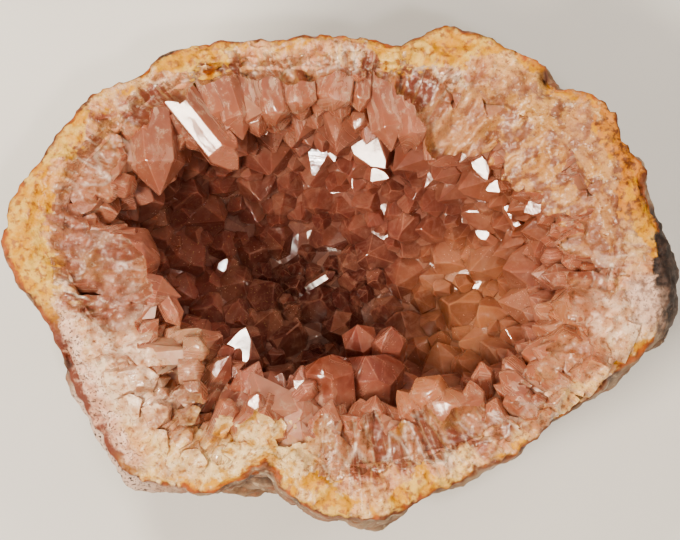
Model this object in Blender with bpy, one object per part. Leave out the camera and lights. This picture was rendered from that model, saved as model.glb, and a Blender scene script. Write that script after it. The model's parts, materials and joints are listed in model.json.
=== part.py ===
"""One half of a broken quartz geode: a thick stony shell with a crust of pink amethyst crystals in its hollow.

Run it with: blender --background --python part.py
Lengths below are millimetres, angles are degrees; the finished meshes are in metres, +Z up.
The origin is the middle of the bounding box, on the surface that the geode rests on.
"""

import math
import random

import bmesh
import bpy
import numpy as np
from mathutils import Vector, noise

MM = 0.001

# Driving sizes
AROUND = 72  # steps round the geode
RISES = 12  # steps up the outside
SEAT_DEPTHS = (0.0, 0.18, 0.38, 0.6, 0.84)  # levels of the hollow, from the rim to its floor
FOOT_SHARE = 0.42  # radius of the flat underside, as a share of the rim's radius
RIM_LEVEL = 46.0  # usual height of the broken rim
WALL_FULLNESS = 0.72  # below 1 makes the outside belly out
WALL_RISE = 1.05  # above 1 keeps the outside low for longer
SEAT_FLOOR = 10.0  # height of the hollow's floor, under the crystals
SEAT_LEAN = Vector((-5.0, -2.5))  # how far the floor's middle lies from the rim's middle
CRUST_GAP = 0.3  # clear space between the shell and the crust
CRUST_OVERLAP = 2.0  # how far the roots run past the hollow before they are trimmed to it
CRUST_AT_RIM = 7.0  # thickness of the crystals' fused roots at the rim
CRUST_AT_FLOOR = 2.6
ROOTS_UNDER_RIM = 4.5  # the crystals that lie in the rim fill this height
POINT_SLOPE = 1.12  # height of a quartz point over the radius of its prism

# The broken rim seen from above: direction and distance from the middle. A lump is one high point, a nick a low one.
RIM_OUTLINE = [
    (0, 52.4), (7, 52.0), (15, 52.3), (20, 53.2), (24, 51.6), (30, 52.3), (35, 50.8), (40, 47.1),
    (46, 47.6), (53, 46.2), (60, 45.2), (65, 44.5), (70, 42.3), (75, 38.6), (82, 39.3), (95, 39.2),
    (104, 39.5), (112, 41.4), (120, 43.5), (128, 46.8), (134, 46.4), (140, 48.0), (147, 50.7),
    (155, 51.6), (163, 53.6), (170, 55.6), (178, 54.9), (184, 51.2), (190, 48.6), (200, 47.8),
    (210, 46.8), (224, 47.4), (230, 45.0), (238, 42.4), (246, 38.6), (250, 36.7), (256, 38.1),
    (264, 39.4), (276, 40.9), (285, 40.2), (293, 39.0), (300, 39.7), (306, 39.4), (315, 41.7),
    (325, 42.6), (335, 46.3), (345, 50.4), (352, 52.8),
]
# Height of the rim's outer edge.
RIM_HEIGHTS = [
    (0, 43.5), (25, 46.0), (50, 47.5), (75, 46.5), (100, 47.0), (125, 46.0), (150, 46.5), (175, 45.0),
    (195, 42.0), (212, 38.5), (228, 39.0), (245, 43.0), (265, 44.5), (290, 43.5), (315, 42.5), (340, 41.5),
]
# Width of the pale stony band, from the rim's outer edge to the crystals.
BAND_WIDTHS = [
    (0, 7.5), (30, 8.0), (60, 9.0), (80, 6.0), (110, 5.5), (140, 6.0), (170, 8.0), (195, 9.0),
    (215, 12.0), (240, 9.0), (260, 8.5), (285, 8.0), (310, 5.5), (335, 6.0),
]
# Slope of the hollow's wall: 0.4 is nearly upright, 1 is a gentle bowl.
WALL_SLOPES = [(0, 0.62), (45, 0.78), (90, 0.6), (135, 0.44), (180, 0.4), (225, 0.4), (270, 0.42), (315, 0.5)]
# Swellings of the outer wall, and one groove: direction, height, how far they stand out, half width in degrees,
# half height.
SWELLINGS = [
    (3, 31, 4.4, 9, 12), (351, 27, 3.6, 8, 10), (213, 28, 1.6, 18, 9), (249, 38, -2.2, 6, 12), (150, 15, 2.6, 18, 9),
    (95, 17, 2.6, 16, 9), (60, 13, 2.4, 14, 8), (278, 15, 2.4, 15, 9), (315, 12, 2.2, 14, 8),
    (250, 11, 2.0, 12, 7), (30, 17, 1.8, 10, 8), (185, 17, 2.0, 10, 9),
]

# Large crystals: x and y of the point, how far it is under RIM_LEVEL, where it aims (direction, rise),
# width across the prism, whole length.
LARGE_CRYSTALS = [
    (-16.5, 21.0, 2.5, -71, 6, 5.6, 15), (-13.2, 22.3, 1.0, -74, 14, 5.0, 15),
    (-9.0, 23.6, 2.0, -77, 10, 5.8, 15), (-5.7, 25.4, 1.0, -80, 12, 5.0, 14),
    (-21.5, 25.0, 0.5, -60, 10, 4.6, 12), (-2.0, 25.8, 1.5, -110, 14, 7.6, 14),
    (3.0, 26.2, 4.0, -95, 5, 5.0, 13), (12.2, 20.6, 3.0, -80, 10, 7.4, 17),
    (20.5, 19.0, 4.0, -100, 6, 6.6, 15), (-30.4, 12.8, 1.0, -86, 22, 9.2, 18),
    (-37.5, 7.6, 3.5, -68, 12, 6.8, 15), (-35.0, 12.4, 0.0, -76, 20, 4.4, 11),
    (-29.0, 0.9, 1.5, -6, 22, 10.5, 19), (-26.0, -5.0, 4.0, 4, 12, 6.4, 14),
    (-21.0, -13.4, 1.0, 4, 8, 4.8, 14), (-20.6, -18.6, 4.0, 14, 24, 5.4, 13),
    (-21.6, -22.6, 4.0, 34, 24, 4.8, 11), (-17.0, -10.8, 4.0, 70, 48, 7.6, 15),
    (-6.0, -14.6, 0.5, 48, 40, 12.4, 20), (-3.0, -12.4, 3.0, 96, 38, 7.8, 17),
    (6.0, -13.0, 9.0, 88, 66, 10.6, 16), (10.6, -16.8, 1.5, 104, 32, 6.0, 14),
    (20.0, -18.2, 1.0, 70, 34, 6.8, 14), (26.5, -14.4, 2.5, 112, 26, 5.8, 13),
    (31.0, -9.2, 2.0, 124, 26, 6.4, 14), (36.6, -0.9, 1.0, 118, 30, 7.4, 15),
    (34.2, 5.4, 5.0, 176, 12, 6.2, 14), (31.0, 14.5, 5.0, -150, 8, 6.6, 15),
]
SEED = 15
# How far the broken rim's crystals stand in from the stony band: direction and distance.
RIM_REACHES = [
    (0, 10.0), (23, 12.0), (49, 13.0), (74, 7.5), (105, 9.0), (133, 11.0), (156, 12.0), (167, 8.5),
    (178, 12.0), (190, 14.0), (217, 13.0), (260, 10.5), (298, 11.5), (320, 9.0), (344, 11.5),
]
# The two rows of them: how many go round, share of that distance, how far under the rim, rise, widths.
RIM_ROWS = [(34, 1.0, 2.6, 8, (5.4, 8.0)), (30, 0.55, 0.6, 24, (5.0, 8.4))]
SMALL_WIDTHS = (9.0, 12.6)  # across the foot of a point, most of which its neighbours cover
SMALL_SPACING = 0.62  # distance between two crystals, as a share of their mean width
SMALL_TRIES = 12000


def between(points, angle):
    """The value at an angle of a smooth closed curve through (angle, value) points."""
    angle %= 360
    count = len(points)
    upper = next((i for i in range(count) if points[i][0] > angle), count)
    corners = []
    for i in range(upper - 2, upper + 2):
        turns, place = divmod(i, count)
        corners.append((points[place][0] + 360 * turns, points[place][1]))
    (a0, v0), (a1, v1), (a2, v2), (a3, v3) = corners
    share = (angle - a1) / (a2 - a1)
    start = (v2 - v0) / (a2 - a0) * (a2 - a1)
    end = (v3 - v1) / (a3 - a1) * (a2 - a1)
    square, cube = share * share, share**3
    return (
        (2 * cube - 3 * square + 1) * v1
        + (cube - 2 * square + share) * start
        + (3 * square - 2 * cube) * v2
        + (cube - square) * end
    )


def facing(angle):
    return Vector((math.cos(math.radians(angle)), math.sin(math.radians(angle))))


def smooth_outline(angle, half_turn):
    """The rim's outline without the lumps and nicks that are narrower than twice half_turn."""
    nearby = [between(RIM_OUTLINE, angle + half_turn * share) for share in (-1, -0.5, 0, 0.5, 1)]
    return sum(nearby) / len(nearby)


def seat_radius(angle):
    """Radius of the hollow at the rim."""
    return smooth_outline(angle, 12) - between(BAND_WIDTHS, angle)


def seat_height(angle):
    """Height of the rim at the inner side of its stony band."""
    return 0.35 * between(RIM_HEIGHTS, angle) + 0.65 * RIM_LEVEL - 1.0


def seat_point(angle, depth, inward=0.0):
    """A point on the wall of the hollow. depth is 0 at the rim and 1 at the floor; inward moves it off the wall."""
    turn = depth * math.pi / 2
    share, drop = max(math.cos(turn), 0) ** between(WALL_SLOPES, angle), math.sin(turn)
    share = share if depth < 1 else 0
    radius = max(seat_radius(angle) - inward, 0) * share
    flat = SEAT_LEAN * drop + facing(angle) * radius
    top = seat_height(angle)
    return Vector((flat.x, flat.y, top - (top - SEAT_FLOOR - inward) * drop))


def outer_point(angle, rise):
    """A point on the outside. rise is 0 at the flat underside and 1 at the rim."""
    turn = rise * math.pi / 2
    body, height = smooth_outline(angle, 30), between(RIM_HEIGHTS, angle)
    rim = body + (between(RIM_OUTLINE, angle) - body) * min(1, 1.3 * rise)
    foot = FOOT_SHARE * body
    radius = foot + (rim - foot) * math.sin(turn) ** WALL_FULLNESS
    z = height * (1 - math.cos(turn)) ** WALL_RISE
    for direction, level, reach, half_turn, half_height in SWELLINGS:
        off = (angle - direction + 180) % 360 - 180
        fall = (off / half_turn) ** 2 + ((z - level) / half_height) ** 2
        radius += reach * math.exp(-fall)
    flat = facing(angle) * radius
    point = Vector((flat.x, flat.y, z))
    if 0 < rise < 1:
        hold = min(1, 4 * rise, 3.2 * (1 - rise) + 0.1)
        point += Vector((flat.x, flat.y, 0)).normalized() * hold * lumps(point)
    return point


def lumps(point):
    """How far the stony outside stands out at a point: rounded knobs with creases between them, and a slow swell."""
    distances, _ = noise.voronoi(point / 13.0)
    knob = 1.8 - 7.0 * distances[0] ** 2
    swell = 1.2 * noise.noise(point / 17.0)
    grit = 0.6 * noise.noise(point / 5.0)
    return knob + swell + grit - 1.1


def rim_point(angle, across):
    """A point on the broken rim. across is 0 at its outer edge and 1 where the crystals start."""
    edge, seat = outer_point(angle, 1), seat_point(angle, 0)
    point = edge.lerp(seat, across)
    crown = 4 * across * (1 - across)
    point.z += crown * (1.0 + 1.5 * noise.noise(point / 6.0) + 0.8 * noise.noise(point / 3.0))
    return point


def join_rings(mesh, low, high):
    for i in range(len(low)):
        j = (i + 1) % len(low)
        mesh.faces.new((low[i], low[j], high[j], high[i]))


def close_ring(mesh, ring, hub):
    """A fan of triangles from a ring to a point in its middle."""
    middle = mesh.verts.new(hub * MM)
    for i in range(len(ring)):
        mesh.faces.new((ring[i], ring[(i + 1) % len(ring)], middle))


def ringed_solid(name, rings, hub):
    """A closed mesh from rings of points: its first ring is a flat face, and its last closes on a hub point."""
    mesh = bmesh.new()
    rows = [[mesh.verts.new(point * MM) for point in ring] for ring in rings]
    mesh.faces.new(list(reversed(rows[0])))
    for low, high in zip(rows, rows[1:]):
        join_rings(mesh, low, high)
    close_ring(mesh, rows[-1], hub)
    return finished(name, mesh)


def finished(name, mesh):
    bmesh.ops.recalc_face_normals(mesh, faces=mesh.faces)
    data = bpy.data.meshes.new(name)
    mesh.to_mesh(data)
    mesh.free()
    made = bpy.data.objects.new(name, data)
    bpy.context.collection.objects.link(made)
    return made


def around(count):
    return [360 * i / count for i in range(count)]


def make_shell():
    rings = [[outer_point(a, i / RISES) for a in around(AROUND)] for i in range(RISES + 1)]
    rings += [[rim_point(a, across) for a in around(AROUND)] for across in (0.3, 0.68)]
    rings += [[seat_point(a, depth) for a in around(AROUND)] for depth in SEAT_DEPTHS]
    return ringed_solid("shell", rings, seat_point(0, 1))


def make_root_layer():
    """The fused roots of the crystals, a bowl that lines the hollow. Its steps are coarse, as crystals cover it."""
    steps = AROUND // 3
    thick = [CRUST_AT_RIM + (CRUST_AT_FLOOR - CRUST_AT_RIM) * min(1, 1.6 * d) for d in SEAT_DEPTHS]
    back = [[seat_point(a, d, -CRUST_OVERLAP) for a in around(steps)] for d in SEAT_DEPTHS]
    front = [[seat_point(a, d, t) for a in around(steps)] for d, t in zip(SEAT_DEPTHS, thick)]
    for point in back[0] + front[0]:
        point.z -= ROOTS_UNDER_RIM
    mesh = bmesh.new()
    rows = [[mesh.verts.new(p * MM) for p in ring] for ring in list(reversed(back)) + front]
    for low, high in zip(rows, rows[1:]):
        join_rings(mesh, low, high)
    close_ring(mesh, rows[0], seat_point(0, 1, -CRUST_OVERLAP))
    close_ring(mesh, rows[-1], seat_point(0, 1, CRUST_AT_FLOOR))
    return finished("crystal_crust", mesh)


def make_hollow():
    """The space that the crust may fill: the hollow less the gap, open upwards. It is only a guide."""
    above = 30.0
    rings = [[seat_point(a, 0, CRUST_GAP) + Vector((0, 0, above)) for a in around(AROUND)]]
    rings += [[seat_point(a, depth, CRUST_GAP) for a in around(AROUND)] for depth in SEAT_DEPTHS]
    return ringed_solid("hollow", rings, seat_point(0, 1, CRUST_GAP))


def add_crystal(mesh, point, aim, width, length, twist, off_centre):
    """A six-sided quartz prism with a six-sided point, in an open bmesh."""
    radius = width / 2
    side = aim.orthogonal().normalized()
    other = aim.cross(side)
    shoulder = point - aim * radius * POINT_SLOPE
    root = point - aim * length
    tip = point + (side * off_centre[0] + other * off_centre[1]) * radius
    rows = []
    for centre, size in ((root, 0.9), (shoulder, 1.0)):
        row = []
        for i in range(6):
            turn = twist + i * math.pi / 3
            out = side * math.cos(turn) + other * math.sin(turn)
            slant = aim * radius * (0.16 * (-1) ** i if size == 1.0 else 0)
            row.append(mesh.verts.new((centre + out * radius * size + slant) * MM))
        rows.append(row)
    peak = mesh.verts.new(tip * MM)
    mesh.faces.new(list(reversed(rows[0])))
    for i in range(6):
        j = (i + 1) % 6
        mesh.faces.new((rows[0][i], rows[0][j], rows[1][j], rows[1][i]))
        mesh.faces.new((rows[1][i], rows[1][j], peak))


def aim_of(direction, rise):
    flat = facing(direction) * math.cos(math.radians(rise))
    return Vector((flat.x, flat.y, math.sin(math.radians(rise))))


def wall_normal(angle, depth):
    """Direction in which a crystal grows from the wall of the hollow."""
    here = seat_point(angle, depth)
    along = seat_point(angle + 2, depth) - seat_point(angle - 2, depth)
    down = seat_point(angle, min(depth + 0.03, 0.995)) - seat_point(angle, max(depth - 0.03, 0))
    normal = along.cross(down).normalized()
    middle = Vector((SEAT_LEAN.x * 0.5, SEAT_LEAN.y * 0.5, RIM_LEVEL))
    return normal if normal.dot(middle - here) > 0 else -normal


def large_crystals():
    return [
        (Vector((x, y, RIM_LEVEL - under)), aim_of(direction, rise), width, length)
        for x, y, under, direction, rise, width, length in LARGE_CRYSTALS
    ]


def clear_of(point, width, others):
    return all((point - p).length > SMALL_SPACING * (width + w) / 2 for p, w in others)


def spots(crystals):
    """Two places along each crystal, with the room that it needs there."""
    near = [(point - aim * width * 0.4, width * 0.7) for point, aim, width, _ in crystals]
    return near + [(point - aim * width * 1.1, width) for point, aim, width, _ in crystals]


def rim_crystals(chance, others):
    """Crystals that lie in the broken rim, seen from their side, between the large ones."""
    found = []
    for count, share, under, rise, widths in RIM_ROWS:
        taken = spots(others)
        for i in range(count):
            angle = 360 * (i + chance.uniform(-0.25, 0.25)) / count
            width = chance.uniform(*widths)
            reach = share * between(RIM_REACHES, angle) + chance.uniform(-2.0, 1.5)
            flat = facing(angle) * (seat_radius(angle) - reach)
            point = Vector((flat.x, flat.y, seat_height(angle) - under + chance.uniform(-1.2, 1.0)))
            aim = aim_of(angle + 180 + chance.uniform(-16, 16), rise + chance.uniform(-8, 8))
            if clear_of(point - aim * width * 0.8, width, taken):
                found.append((point, aim, width, reach + CRUST_OVERLAP / 2))
    return found


def small_crystals(chance, others):
    """Crystals that cover the rest of the hollow, evenly over its wall and floor."""
    taken = spots(others)
    found = []
    largest = 75.0  # millimetres square a degree and a unit of depth, where the wall is widest
    for _ in range(SMALL_TRIES):
        angle, depth, keep = chance.uniform(0, 360), chance.uniform(0.1, 0.995), chance.random()
        width = chance.uniform(*SMALL_WIDTHS)
        wobble = Vector([chance.gauss(0, 0.22) for _ in range(3)])
        root = seat_point(angle, depth)
        along = seat_point(angle + 0.5, depth) - seat_point(angle - 0.5, depth)
        down = (seat_point(angle, min(depth + 0.01, 1)) - root) * 100
        length = CRUST_AT_FLOOR + width * chance.uniform(0.5, 0.75)
        aim = (wall_normal(angle, depth) + wobble + Vector((0, 0, 0.12))).normalized()
        if keep * largest < along.cross(down).length and clear_of(root + aim * length * 0.6, width, taken):
            taken.append((root + aim * length * 0.6, width))
            found.append((root + aim * length, aim, width, length))
    return found


def make_crystals():
    """Every crystal as its own closed shape, in one guide mesh."""
    chance = random.Random(SEED)
    mesh = bmesh.new()
    crystals = large_crystals()
    crystals += rim_crystals(chance, crystals)
    crystals += small_crystals(chance, crystals)
    print(len(crystals), "crystals")
    for point, aim, width, length in crystals:
        off_centre = (chance.uniform(-0.25, 0.25), chance.uniform(-0.25, 0.25))
        add_crystal(mesh, point, aim, width, length, chance.uniform(0, math.pi / 3), off_centre)
    return finished("crystals", mesh)


def combine(target, other, operation):
    step = target.modifiers.new(operation.lower(), "BOOLEAN")
    step.operation = operation
    step.object = other
    step.solver = "EXACT"
    step.use_self = True
    other.hide_render = True
    other.display_type = "WIRE"


def keep_outer_surface(target):
    """Applies the object's modifiers and deletes what they leave apart from its main surface: pockets sealed
    between crystals, and chips."""
    scene = bpy.context.evaluated_depsgraph_get()
    mesh = bmesh.new()
    mesh.from_mesh(target.evaluated_get(scene).to_mesh())
    left, pieces = set(mesh.verts), []
    while left:
        piece, edge_of_piece = set(), [left.pop()]
        while edge_of_piece:
            vertex = edge_of_piece.pop()
            piece.add(vertex)
            near = {edge.other_vert(vertex) for edge in vertex.link_edges} & left
            left -= near
            edge_of_piece += near
        pieces.append(piece)
    largest = max(pieces, key=len)
    bmesh.ops.delete(mesh, geom=[vertex for vertex in mesh.verts if vertex not in largest])
    target.modifiers.clear()
    mesh.to_mesh(target.data)
    mesh.free()


def give_material(target, name, colour, roughness):
    made = bpy.data.materials.new(name)
    made.use_nodes = True
    shader = made.node_tree.nodes["Principled BSDF"]
    shader.inputs["Base Color"].default_value = (*colour, 1)
    shader.inputs["Roughness"].default_value = roughness
    shader.inputs["Metallic"].default_value = 0
    target.data.materials.append(made)


def middle_of(target):
    """Middle of the object's bounding box, in plan."""
    corners = np.array([vertex.co for vertex in target.data.vertices])
    low, high = corners.min(axis=0), corners.max(axis=0)
    return Vector((-(low[0] + high[0]) / 2, -(low[1] + high[1]) / 2, 0))


def main():
    for old in list(bpy.data.objects):
        bpy.data.objects.remove(old)
    shell = make_shell()
    crust = make_root_layer()
    crystals, hollow = make_crystals(), make_hollow()
    combine(crust, crystals, "UNION")
    combine(crust, hollow, "INTERSECT")
    keep_outer_surface(crust)
    give_material(shell, "stony_shell", (0.55, 0.38, 0.24), 0.8)
    give_material(crust, "pink_amethyst", (0.62, 0.3, 0.25), 0.25)
    shift = middle_of(shell)
    for piece in (shell, crust, crystals, hollow):
        piece.location = shift


main()
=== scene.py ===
import json
import math
import random
from bisect import bisect_left as bisectLeft

import bpy
from mathutils import Matrix, Vector, noise
from mathutils.bvhtree import BVHTree
from mathutils.kdtree import KDTree

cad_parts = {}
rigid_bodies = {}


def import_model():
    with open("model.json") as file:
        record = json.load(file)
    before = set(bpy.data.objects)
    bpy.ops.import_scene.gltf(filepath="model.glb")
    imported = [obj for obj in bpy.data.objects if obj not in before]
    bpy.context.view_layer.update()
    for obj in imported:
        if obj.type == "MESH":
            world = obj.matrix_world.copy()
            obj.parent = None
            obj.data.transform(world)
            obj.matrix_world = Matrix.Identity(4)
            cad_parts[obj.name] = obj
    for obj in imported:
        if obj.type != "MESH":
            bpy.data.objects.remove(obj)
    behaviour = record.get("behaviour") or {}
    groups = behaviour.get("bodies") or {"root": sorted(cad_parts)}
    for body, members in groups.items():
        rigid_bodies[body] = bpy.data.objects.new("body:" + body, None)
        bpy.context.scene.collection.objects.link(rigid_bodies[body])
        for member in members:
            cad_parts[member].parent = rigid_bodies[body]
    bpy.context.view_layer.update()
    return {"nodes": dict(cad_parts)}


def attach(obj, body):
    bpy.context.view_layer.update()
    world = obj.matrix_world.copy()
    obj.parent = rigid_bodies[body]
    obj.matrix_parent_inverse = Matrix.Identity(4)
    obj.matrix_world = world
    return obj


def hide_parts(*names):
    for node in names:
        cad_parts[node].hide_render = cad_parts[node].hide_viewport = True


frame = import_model()

mm = 0.001
rimTop = 46.0  # usual height of the rim, and its usual radius, in millimetres
rimRadius = 45.0
hollowMiddle = (-3, -1.5)
chance = random.Random(11)  # for places and sizes
shades = random.Random(5)  # for colours
noise.seed_set(11)  # noise_vector would be seeded by the clock, and each run come out a little different


def colour(red, green, blue):
    # a colour as a paint chart gives it, 0 to 255, turned into the linear values that shaders take
    def linear(part):
        part /= 255
        return part / 12.92 if part <= 0.04045 else ((part + 0.055) / 1.055) ** 2.4
    return (linear(red), linear(green), linear(blue), 1.0)


def facing(degrees):
    # a level direction; 0 degrees is towards the right end, 90 towards the back
    return Vector((math.cos(math.radians(degrees)), math.sin(math.radians(degrees)), 0))


def aimOf(degrees, rise):
    return facing(degrees) * math.cos(math.radians(rise)) + Vector((0, 0, math.sin(math.radians(rise))))


def directionOf(x, y):
    # the direction of a place, 0 to 360 degrees
    return math.degrees(math.atan2(y, x)) % 360


def smooth(low, high, value):
    # 0 at low, 1 at high; low may be above high
    share = min(max((value - low) / (high - low), 0), 1)
    return share * share * (3 - 2 * share)


def makeActive(thing):
    bpy.ops.object.select_all(action="DESELECT")
    thing.select_set(True)
    bpy.context.view_layer.objects.active = thing


def applyModifiers(thing):
    makeActive(thing)
    for modifier in list(thing.modifiers):
        bpy.ops.object.modifier_apply(modifier=modifier.name)


def copyOfNode(nodeName, pieceName):
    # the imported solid's own mesh, its loose triangles merged, as the start of a finer piece
    piece = bpy.data.objects.new(pieceName, frame["nodes"][nodeName].data.copy())
    piece.data.name = pieceName
    piece.data.materials.clear()
    bpy.context.scene.collection.objects.link(piece)
    makeActive(piece)
    bpy.ops.object.mode_set(mode="EDIT")
    bpy.ops.mesh.select_all(action="SELECT")
    bpy.ops.mesh.remove_doubles(threshold=0.00001)
    bpy.ops.object.mode_set(mode="OBJECT")
    return piece


class Tap:
    # one output of a node; arithmetic on it adds Math nodes
    def __init__(self, finish, socket):
        self.finish = finish
        self.socket = socket

    def math(self, operation, first, second):
        return self.finish.node("ShaderNodeMath", {"operation": operation}, [first, second])

    def __add__(self, other):
        return self.math("ADD", self, other)

    def __radd__(self, other):
        return self.math("ADD", other, self)

    def __sub__(self, other):
        return self.math("SUBTRACT", self, other)

    def __rsub__(self, other):
        return self.math("SUBTRACT", other, self)

    def __mul__(self, other):
        return self.math("MULTIPLY", self, other)

    def __rmul__(self, other):
        return self.math("MULTIPLY", other, self)

    def step(self, low, high):
        # 0 at low, 1 at high, smooth between; low may be above high
        return self.finish.node("ShaderNodeMapRange", {"interpolation_type": "SMOOTHSTEP"},
                                [self, low, high, 0.0, 1.0])


class Finish:
    # a material, with the few nodes that all of them share
    def __init__(self, name):
        self.material = bpy.data.materials.new(name)
        self.material.use_nodes = True
        self.tree = self.material.node_tree
        self.tree.nodes.clear()
        place = self.node("ShaderNodeTexCoord", out="Object")
        self.place = self.scaled(place, 1 / mm)  # in millimetres
        self.ragged = self.shaken(self.place, 5.0, 10.0)  # unsettled, for patches with uneven edges

    def node(self, kind, settings=None, values=(), out=0):
        made = self.tree.nodes.new(kind)
        for key, value in (settings or {}).items():
            setattr(made, key, value)
        for key, value in values.items() if isinstance(values, dict) else enumerate(values):
            if isinstance(value, Tap):
                self.tree.links.new(value.socket, made.inputs[key])
            else:
                made.inputs[key].default_value = value
        return Tap(self, made.outputs[out])

    def scaled(self, vector, factor):
        return self.node("ShaderNodeVectorMath", {"operation": "SCALE"}, {0: vector, "Scale": factor})

    def moved(self, vector, other):
        return self.node("ShaderNodeVectorMath", {"operation": "ADD"}, [vector, other])

    def stretched(self, vector, factors):
        return self.node("ShaderNodeVectorMath", {"operation": "MULTIPLY"}, [vector, factors])

    def grain(self, size, detail=3.0, rough=0.55, place=None):
        # noise with features of about this many millimetres
        return self.node("ShaderNodeTexNoise", {}, {"Vector": place or self.place, "Scale": 1 / size,
                                                    "Detail": detail, "Roughness": rough})

    def shaken(self, vector, size, amount):
        # a place moved about by noise of one size
        values = {"Vector": vector, "Scale": 1 / size, "Detail": 3.0}
        waver = self.node("ShaderNodeTexNoise", {}, values, "Color")
        return self.moved(vector, self.scaled(self.moved(waver, (-0.5, -0.5, -0.5)), amount))

    def part(self, vector, axis):
        return self.node("ShaderNodeSeparateXYZ", {}, [vector], axis)

    def cells(self, size, feature="F1", place=None, out="Distance"):
        return self.node("ShaderNodeTexVoronoi", {"feature": feature},
                         {"Vector": place or self.place, "Scale": 1 / size}, out)

    def away(self, place, centre):
        return self.node("ShaderNodeVectorMath", {"operation": "DISTANCE"}, [place, centre], "Value")

    def spot(self, centre, radius, blur):
        # 1 inside a round place on the object, 0 outside, with a ragged edge
        return self.away(self.ragged, centre).step(radius + blur, radius - blur)

    def mixed(self, factor, first, second):
        return self.node("ShaderNodeMix", {"data_type": "RGBA"}, {0: factor, 6: first, 7: second}, 2)

    def layered(self, look, layers):
        # each layer is how much of it shows, and its colour
        for share, tint in layers:
            look = self.mixed(share, look, tint)
        return look

    def radial(self, across, length, away, bend):
        # a place for noise that is drawn out towards the middle: millimetres across and along a streak make 1
        level = self.stretched(self.place, (1, 1, 0))
        around = self.node("ShaderNodeVectorMath", {"operation": "NORMALIZE"}, [level])
        deep = self.node("ShaderNodeCombineXYZ", {}, [0.0, 0.0, away * (1 / length)])
        return self.shaken(self.moved(self.scaled(around, rimRadius / across), deep), 1.5, bend)

    def attribute(self, name):
        return self.node("ShaderNodeAttribute", {"attribute_name": name}, (), "Fac")

    def stoneSurface(self, look, shine, bump):
        # light goes about a millimetre into the stone
        return self.node("ShaderNodeBsdfPrincipled", {}, {
            "Base Color": look, "Roughness": shine, "Normal": bump, "IOR": 1.5, "Subsurface Weight": 0.12,
            "Subsurface Radius": (1.0, 0.5, 0.3), "Subsurface Scale": 0.002})

    def done(self, shader):
        end = self.tree.nodes.new("ShaderNodeOutputMaterial")
        self.tree.links.new(shader.socket, end.inputs["Surface"])
        return self.material


def brokenStone(finish, inward):
    # the break across the rim: chalk and cream by the rind, then prisms of mauve quartz between pale veins;
    # gives its colour and how little light it lets through
    broad, medium = finish.grain(9, 3), finish.grain(2.6, 4)
    fine, specks = finish.grain(0.9, 4), finish.grain(0.4, 2)
    lanes = finish.radial(3.0, 7.0, inward, 0.9)
    prism = finish.part(finish.cells(1, place=lanes, out="Color"), "X")
    seam = finish.cells(1, "DISTANCE_TO_EDGE", lanes)
    threads = finish.grain(1, 3, place=finish.radial(0.8, 3.2, inward, 1.6))

    chalk = finish.layered(colour(224, 188, 130), [
        (broad.step(0.42, 0.6), colour(212, 160, 112)),
        (medium.step(0.48, 0.64) * 0.6, colour(190, 136, 76)),
        (threads.step(0.5, 0.66) * 0.6, colour(236, 212, 184)),
    ])
    vein = finish.mixed(broad.step(0.45, 0.58), colour(238, 218, 198), colour(204, 156, 96))
    peach = finish.mixed(prism.step(0.2, 0.8), colour(190, 118, 88), colour(222, 164, 128))
    quartz = finish.layered(colour(146, 84, 66), [
        (prism.step(0.15, 0.85), colour(206, 146, 110)),
        (threads.step(0.5, 0.7) * 0.5, colour(228, 194, 162)),
        (seam.step(0.12, 0.0) * 0.6, vein),
        (finish.spot((37.0, -10.0, 44.0), 9.0, 4.0) * 0.75, peach),
    ])

    reach = inward + (threads - 0.5) * 6.0 + (medium - 0.5) * 10.0 + (broad - 0.5) * 14.0
    opaque = reach.step(-1.0, -6.5)
    look = finish.mixed(opaque, quartz, chalk)
    sandy = finish.mixed(medium.step(0.46, 0.58), colour(192, 142, 84), colour(128, 82, 62))
    sandy = finish.mixed(broad.step(0.5, 0.62) * 0.5, sandy, colour(172, 124, 94))
    yellow = finish.mixed(medium.step(0.46, 0.6), colour(224, 196, 146), colour(200, 154, 72))
    pale = finish.mixed(medium.step(0.42, 0.6), colour(228, 202, 178), colour(206, 164, 132))
    tan = finish.mixed(medium.step(0.44, 0.58), colour(178, 130, 88), colour(122, 76, 58))
    # mauve quartz for the band's left; its darker part is painted shade
    mauve = finish.mixed(medium.step(0.42, 0.6), colour(146, 94, 78), colour(98, 56, 46))
    patches = [
        ((43.0, 13.0, 44.0), 11.0, tan), ((30.0, 19.0, 42.0), 15.0, sandy),
        ((-15.0, -29.0, 44.0), 10.0, yellow), ((-34.0, -16.0, 44.0), 9.0, pale),
        # the two mauve patches on the left are mauve quartz with painted shade
        ((46.0, -8.0, 44.0), 5.0, pale), ((-42.0, 8.0, 44.0), 6.0, mauve), ((-37.0, -4.0, 44.0), 5.0, mauve),
    ]
    for place, radius, tint in patches:
        share = finish.spot(place, radius, 4.0) * 0.9
        look = finish.mixed(share, look, tint)
        opaque = finish.node("ShaderNodeMath", {"operation": "MAXIMUM"}, [opaque, share])
    goldSpots = [
        ((-47.5, 14.0, 44.0), 2.4), ((-48.2, 2.6, 44.0), 2.8), ((-51.0, 0.0, 44.0), 3.0),
        ((-21.0, -27.0, 44.0), 2.0), ((9.6, -25.4, 44.0), 2.0),
    ]
    look = finish.layered(look, [
        (finish.spot(place, radius, 1.6) * 0.75, colour(202, 142, 44)) for place, radius in goldSpots
    ])
    look = finish.layered(look, [
        (medium.step(0.54, 0.68) * 0.35, colour(160, 104, 74)),
        (fine.step(0.53, 0.67) * 0.7, colour(140, 88, 56)),
        (fine.step(0.42, 0.3) * 0.45, colour(240, 222, 200)),
        (specks.step(0.64, 0.7) * 0.6, colour(96, 60, 42)),
    ])
    return look, opaque


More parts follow.
